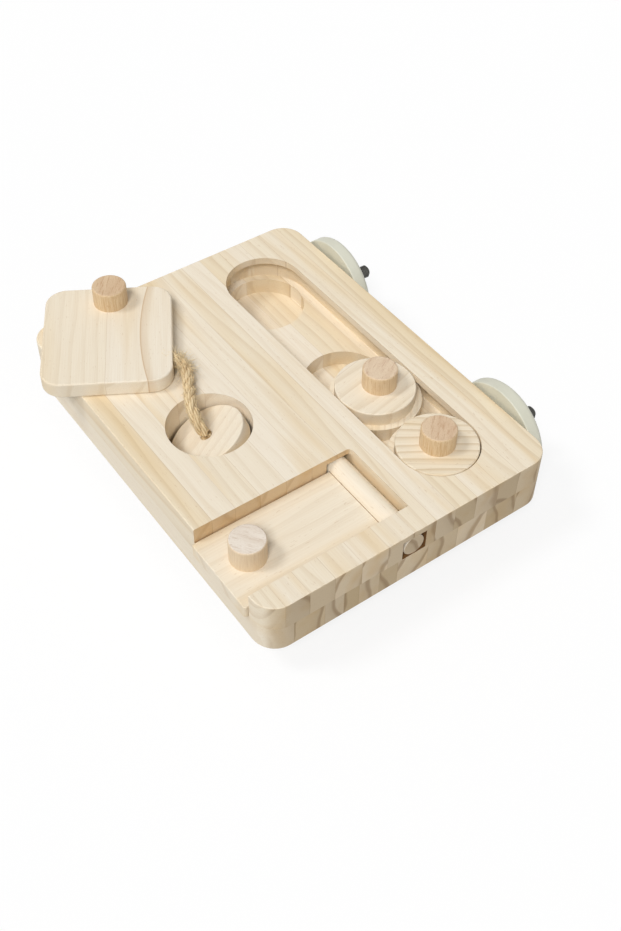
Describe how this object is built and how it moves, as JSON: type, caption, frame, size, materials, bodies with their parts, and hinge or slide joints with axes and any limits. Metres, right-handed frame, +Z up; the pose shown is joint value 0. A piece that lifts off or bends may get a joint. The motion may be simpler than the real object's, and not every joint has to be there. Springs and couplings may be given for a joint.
{
  "type": "wooden foraging toy",
  "caption": "Two-layer pine board for hiding treats: a lane of knobbed sliders, a flip lid on a dowel, a roped lid and plug, and round nuts that clamp it to a cage.",
  "frame": {"origin": "middle of the board's flat underside", "axes": "+Y along the board's length, away from the flip lid; +X across it, towards the edge with the cage clamps; +Z up out of the board's face"},
  "size_m": [0.1688, 0.1885, 0.0559],
  "materials": {
    "pine": "sanded, unfinished",
    "beech": "sanded, unfinished",
    "jute": "twisted, hairy",
    "ivory_plastic": "satin",
    "plated_steel": "bright plated"
  },
  "bodies": {
    "board": {"base_board": "pine", "top_board": "pine", "front_stud": "plated_steel", "rear_stud": "plated_steel"},
    "flip_lid": {"flip_panel": "pine", "flip_knob": "beech", "hinge_dowel": "pine"},
    "near_slider": {"near_flange": "pine", "near_disc": "pine", "near_knob": "beech"},
    "middle_slider": {"middle_flange": "pine", "middle_disc": "pine", "middle_knob": "beech"},
    "plug": {"tether_plug": "pine", "rope_knot": "jute"},
    "tethered_lid": {"tether_plate": "pine", "tether_knob": "beech", "tether_rope": "jute"},
    "front_nut": {"front_clamp_nut": "ivory_plastic"},
    "rear_nut": {"rear_clamp_nut": "ivory_plastic"}
  },
  "joints": [
    {"name": "flip_hinge", "type": "hinge", "parent": "board", "child": "flip_lid", "pos_m": [-0.0013, -0.06, 0.0173], "axis": [0, 1, 0], "range_deg": [0, 110]},
    {"name": "near_slide", "type": "slide", "parent": "board", "child": "near_slider", "axis": [0, 1, 0], "range_m": [0, 0.0401]},
    {"name": "middle_slide", "type": "slide", "parent": "near_slider", "child": "middle_slider", "axis": [0, 1, 0], "range_m": [0, 0.0401]},
    {"name": "plug_lift", "type": "slide", "parent": "board", "child": "plug", "axis": [0, 0, 1], "range_m": [0, 0.04]},
    {"name": "lid_swing", "type": "hinge", "parent": "plug", "child": "tethered_lid", "pos_m": [-0.03525, 0.0013, 0.0196], "axis": [0, 0, 1], "range_deg": [-25, 30]},
    {"name": "front_nut_travel", "type": "slide", "parent": "board", "child": "front_nut", "axis": [1, 0, 0], "range_m": [-0.0007, 0.007]},
    {"name": "rear_nut_travel", "type": "slide", "parent": "board", "child": "rear_nut", "axis": [1, 0, 0], "range_m": [-0.0007, 0.007]}
  ]
}
